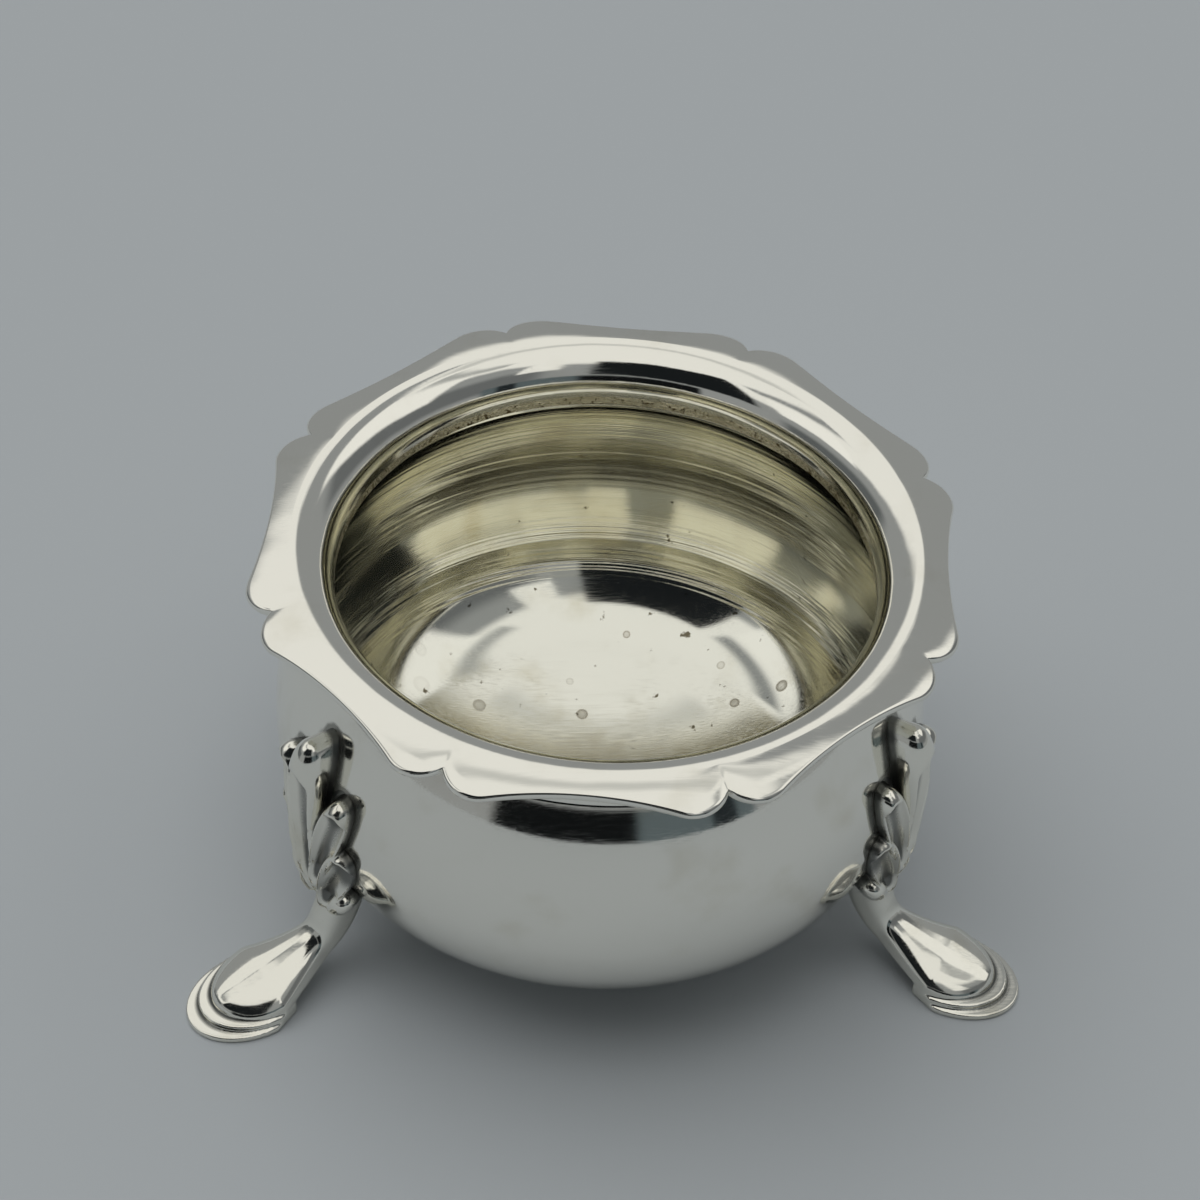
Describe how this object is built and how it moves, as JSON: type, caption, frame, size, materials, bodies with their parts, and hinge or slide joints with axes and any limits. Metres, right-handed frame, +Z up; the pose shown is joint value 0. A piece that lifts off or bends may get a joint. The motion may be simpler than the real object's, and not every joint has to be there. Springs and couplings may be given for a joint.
{
  "type": "salt cellar",
  "caption": "Small round-bellied open salt with a flared, shaped rim, standing on cast shell-kneed feet with stepped toes; holds loose table salt.",
  "frame": {"origin": "on the table, on the bowl's axis, midway between the three feet", "axes": "+Z up along the bowl's axis; +Y towards the back foot; the left and right feet stand at the front"},
  "size_m": [0.0722, 0.0708, 0.037],
  "materials": {
    "spun_silver": "mirror polish with fine wiping scratches, a little tarnish inside",
    "formed_silver": "mirror polish with fine wiping scratches",
    "cast_silver": "polished casting, dark in its crevices"
  },
  "bodies": {
    "root": {"bowl": "spun_silver", "rim": "formed_silver", "foot_back": "cast_silver", "foot_left": "cast_silver", "foot_right": "cast_silver"}
  },
  "joints": []
}
